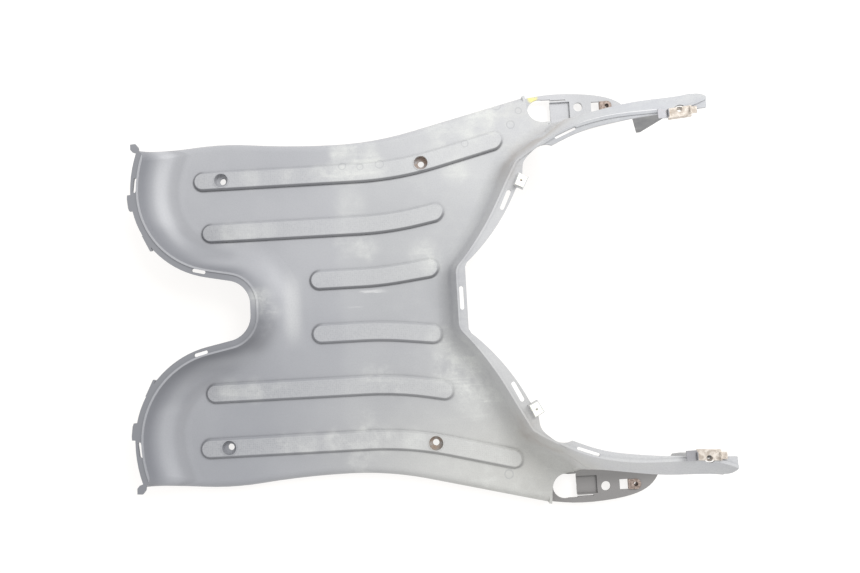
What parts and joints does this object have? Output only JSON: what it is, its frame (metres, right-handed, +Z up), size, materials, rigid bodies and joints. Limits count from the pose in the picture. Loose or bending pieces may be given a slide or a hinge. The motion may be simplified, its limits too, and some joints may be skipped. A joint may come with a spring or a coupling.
{
  "type": "scooter floorboard",
  "caption": "Moulded grey scooter floorboard with raised tread ribs, screw wells, a curled front wall round a U notch, a V-notched rear wall with rising arms, side tabs and push-on clip nuts.",
  "frame": {"origin": "on the ground under the middle of the whole part", "axes": "+X to the rear of the scooter, +Y to the rider's right, +Z up"},
  "size_m": [0.5414, 0.4174, 0.1193],
  "materials": {
    "grey_plastic": "worn satin grey moulding",
    "zinc_steel": "dull zinc plating",
    "rusty_steel": "rust-browned spring steel",
    "cream_nylon": "natural cream nylon"
  },
  "bodies": {
    "root": {"floorboard": "grey_plastic", "right_arm_clip": "zinc_steel", "left_arm_clip": "zinc_steel", "right_tab_clip": "rusty_steel", "left_tab_clip": "rusty_steel", "right_loop_nut": "cream_nylon", "left_loop_nut": "cream_nylon"}
  },
  "joints": []
}
